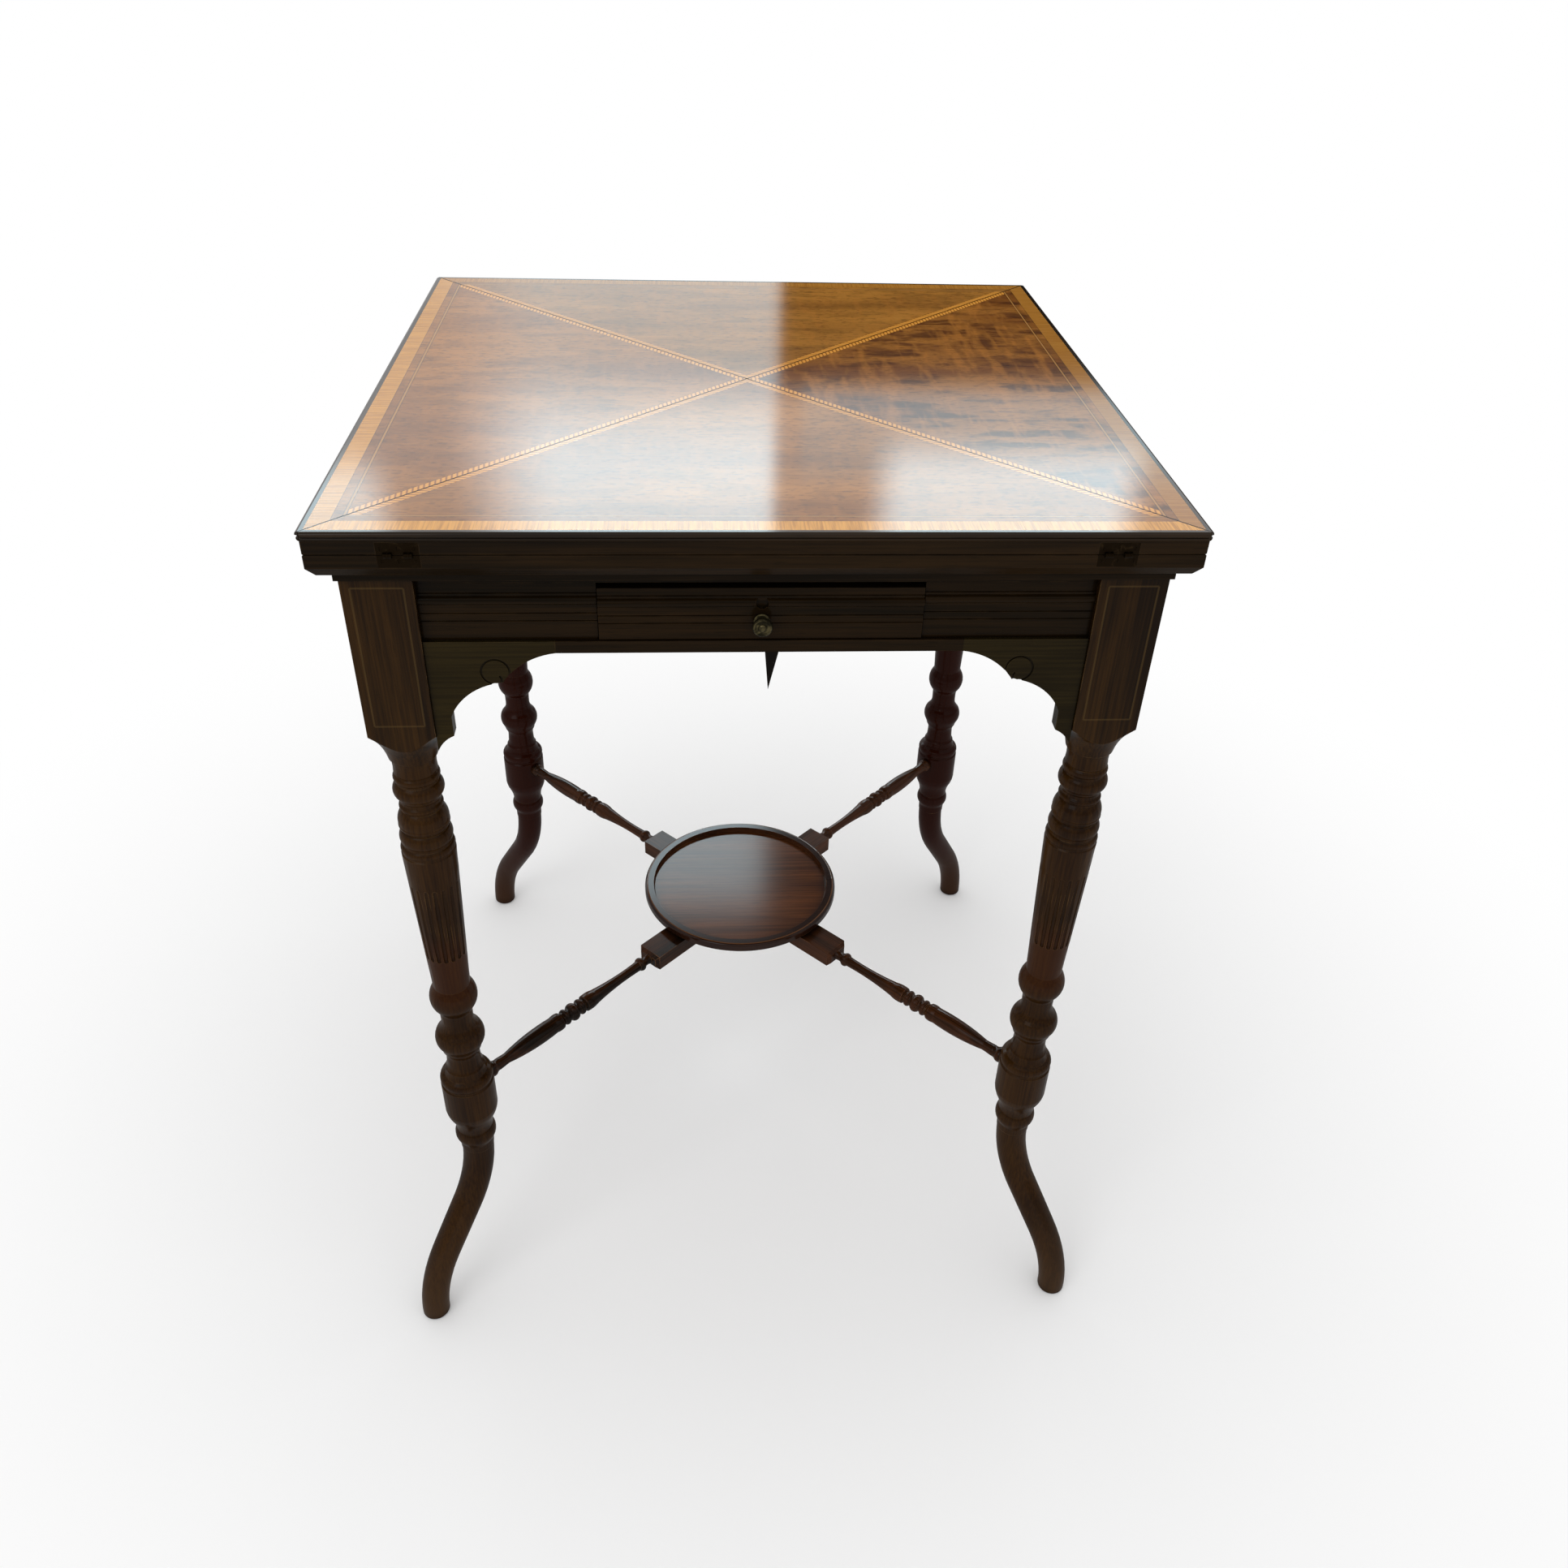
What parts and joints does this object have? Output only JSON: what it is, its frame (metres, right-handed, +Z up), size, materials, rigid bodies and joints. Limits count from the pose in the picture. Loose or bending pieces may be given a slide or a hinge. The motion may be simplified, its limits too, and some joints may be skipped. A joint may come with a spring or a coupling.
{
  "type": "folding card table",
  "caption": "Square card table: hinged triangular leaves fold open over a turning baize-lined board; shallow drawer, turned fluted legs, diagonal stretchers and a round tray.",
  "frame": {"origin": "on the floor, under the pivot at the middle of the top", "axes": "+Z up, +X to the right of someone facing the drawer, +Y away from them"},
  "size_m": [0.5902, 0.5902, 0.758],
  "materials": {
    "dark_wood": "dark french polish",
    "polished_wood": "french polish",
    "veneer": "polished figured veneer with a lighter crossbanded border",
    "plain_wood": "unpolished",
    "baize": "napped cloth",
    "brass": "tarnished",
    "steel": "dull",
    "iron": "dark, worn bright at the edges"
  },
  "bodies": {
    "base": {"leg_front_left": "dark_wood", "leg_front_right": "dark_wood", "leg_back_right": "dark_wood", "leg_back_left": "dark_wood", "rail_back": "dark_wood", "rail_left": "dark_wood", "rail_right": "dark_wood", "front_panel_left": "dark_wood", "front_panel_right": "dark_wood", "front_top_rail": "dark_wood", "front_bottom_rail": "dark_wood", "top_mouldings": "dark_wood", "apron_strips": "dark_wood", "brackets_front": "dark_wood", "brackets_right": "dark_wood", "brackets_back": "dark_wood", "brackets_left": "dark_wood", "stretcher_front_left": "dark_wood", "stretcher_front_right": "dark_wood", "stretcher_back_right": "dark_wood", "stretcher_back_left": "dark_wood", "stretcher_hub": "dark_wood", "tray": "polished_wood", "tray_screws": "steel", "pivot_bearer": "plain_wood", "stop_peg": "plain_wood", "drawer_runners": "plain_wood", "drawer_kickers": "plain_wood", "drawer_stops": "plain_wood", "catch_screw": "steel"},
    "top": {"board": "polished_wood", "board_baize": "baize", "board_hinges": "brass", "hinge_pins": "brass", "board_hinge_screws": "brass", "pivot_bolt": "steel", "pivot_washer": "steel", "pivot_nut": "steel"},
    "leaf_front_body": {"leaf_front": "veneer", "leaf_baize_front": "baize", "leaf_hinges_front": "brass", "leaf_screws_front": "brass"},
    "leaf_right_body": {"leaf_right": "veneer", "leaf_baize_right": "baize", "leaf_hinges_right": "brass", "leaf_screws_right": "brass"},
    "leaf_back_body": {"leaf_back": "veneer", "leaf_baize_back": "baize", "leaf_hinges_back": "brass", "leaf_screws_back": "brass"},
    "leaf_left_body": {"leaf_left": "veneer", "leaf_baize_left": "baize", "leaf_hinges_left": "brass", "leaf_screws_left": "brass"},
    "drawer": {"drawer_front": "dark_wood", "drawer_sides": "plain_wood", "drawer_back": "plain_wood", "drawer_bottom": "plain_wood", "drawer_knob": "brass"},
    "catch": {"drawer_catch": "iron"}
  },
  "joints": [
    {"name": "top_turn", "type": "hinge", "parent": "base", "child": "top", "pos_m": [0, 0, 0.743], "axis": [0, 0, 1], "range_deg": [0, 45]},
    {"name": "leaf_front_fold", "type": "hinge", "parent": "top", "child": "leaf_front_body", "pos_m": [0, -0.2706, 0.743], "axis": [1, 0, 0], "range_deg": [0, 180]},
    {"name": "leaf_right_fold", "type": "hinge", "parent": "top", "child": "leaf_right_body", "pos_m": [0.2706, 0, 0.743], "axis": [0, 1, 0], "range_deg": [0, 180]},
    {"name": "leaf_back_fold", "type": "hinge", "parent": "top", "child": "leaf_back_body", "pos_m": [0, 0.2706, 0.743], "axis": [-1, 0, 0], "range_deg": [0, 180]},
    {"name": "leaf_left_fold", "type": "hinge", "parent": "top", "child": "leaf_left_body", "pos_m": [-0.2706, 0, 0.743], "axis": [0, -1, 0], "range_deg": [0, 180]},
    {"name": "drawer_slide", "type": "slide", "parent": "base", "child": "drawer", "axis": [0, -1, 0], "range_m": [0, 0.1594]},
    {"name": "catch_swing", "type": "hinge", "parent": "base", "child": "catch", "pos_m": [0.0094, -0.217, 0.6716], "axis": [0, 1, 0], "range_deg": [-90, 90]}
  ]
}
